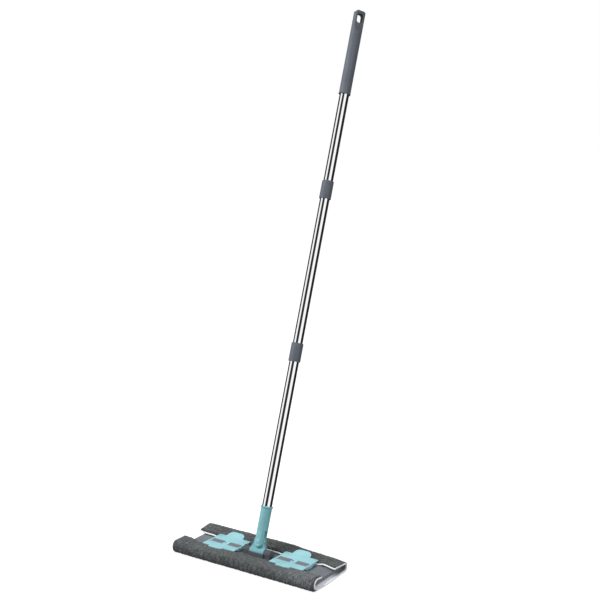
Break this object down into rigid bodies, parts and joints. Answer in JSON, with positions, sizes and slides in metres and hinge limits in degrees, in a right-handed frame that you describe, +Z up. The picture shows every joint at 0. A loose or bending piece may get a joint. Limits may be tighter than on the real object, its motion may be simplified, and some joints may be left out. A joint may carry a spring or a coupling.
{
  "type": "flat mop",
  "caption": "Flat mop: a leaning steel handle with a plastic grip, a two-way swivel joint and a flat plate whose hinged clips hold a folded grey pile cloth.",
  "frame": {"origin": "the point on the grip's centre line where the hand holds the mop, 1.12 m along the handle from the swivel's axle", "axes": "+X along the plate to its right end, +Y to the back of the plate, the way the handle leans, +Z up from the floor"},
  "size_m": [0.382, 0.4896, 1.1994],
  "materials": {
    "steel": "polished",
    "slate_plastic": "satin",
    "aqua_plastic": "satin",
    "clip_plastic": "satin",
    "plate_plastic": "satin",
    "plug_plastic": "satin",
    "pin_steel": "drawn",
    "pile_cloth": "cut-loop pile"
  },
  "bodies": {
    "handle": {"grip": "slate_plastic", "upper_tube": "steel", "upper_coupling": "slate_plastic", "upper_screw_plug": "plug_plastic", "middle_tube": "steel", "lower_coupling": "slate_plastic", "lower_screw_plug": "plug_plastic", "lower_tube": "steel", "socket_plug": "plug_plastic", "socket": "aqua_plastic", "tilt_pin": "aqua_plastic"},
    "yoke": {"yoke": "aqua_plastic"},
    "head": {"base_plate": "plate_plastic", "joint_axle": "pin_steel", "left_clip_pin": "pin_steel", "right_clip_pin": "pin_steel", "cloth_sole": "pile_cloth", "cloth_front_fold": "pile_cloth", "cloth_back_fold": "pile_cloth"},
    "left_front_clip": {"left_front_clip": "clip_plastic"},
    "left_back_clip": {"left_back_clip": "clip_plastic"},
    "right_front_clip": {"right_front_clip": "clip_plastic"},
    "right_back_clip": {"right_back_clip": "clip_plastic"}
  },
  "joints": [
    {"name": "handle_tilt", "type": "hinge", "parent": "handle", "child": "yoke", "pos_m": [0, -0.36425, -1.03434], "axis": [0, 0.9432, -0.3322], "range_deg": [-75, 75]},
    {"name": "handle_lean", "type": "hinge", "parent": "yoke", "child": "head", "pos_m": [0, -0.37202, -1.05641], "axis": [1, 0, 0], "range_deg": [-70, 45]},
    {"name": "left_front_flap", "type": "hinge", "parent": "head", "child": "left_front_clip", "pos_m": [-0.0904, -0.37052, -1.06161], "axis": [-1, 0, 0], "range_deg": [0, 45], "stiffness_Nm_per_rad": 0.05, "springref_deg": -57.3},
    {"name": "left_back_flap", "type": "hinge", "parent": "head", "child": "left_back_clip", "pos_m": [-0.0904, -0.37052, -1.06161], "axis": [-1, 0, 0], "range_deg": [-45, 0], "stiffness_Nm_per_rad": 0.05, "springref_deg": 57.3},
    {"name": "right_front_flap", "type": "hinge", "parent": "head", "child": "right_front_clip", "pos_m": [0.0904, -0.37052, -1.06161], "axis": [-1, 0, 0], "range_deg": [0, 45], "stiffness_Nm_per_rad": 0.05, "springref_deg": -57.3},
    {"name": "right_back_flap", "type": "hinge", "parent": "head", "child": "right_back_clip", "pos_m": [0.0904, -0.37052, -1.06161], "axis": [-1, 0, 0], "range_deg": [-45, 0], "stiffness_Nm_per_rad": 0.05, "springref_deg": 57.3}
  ]
}
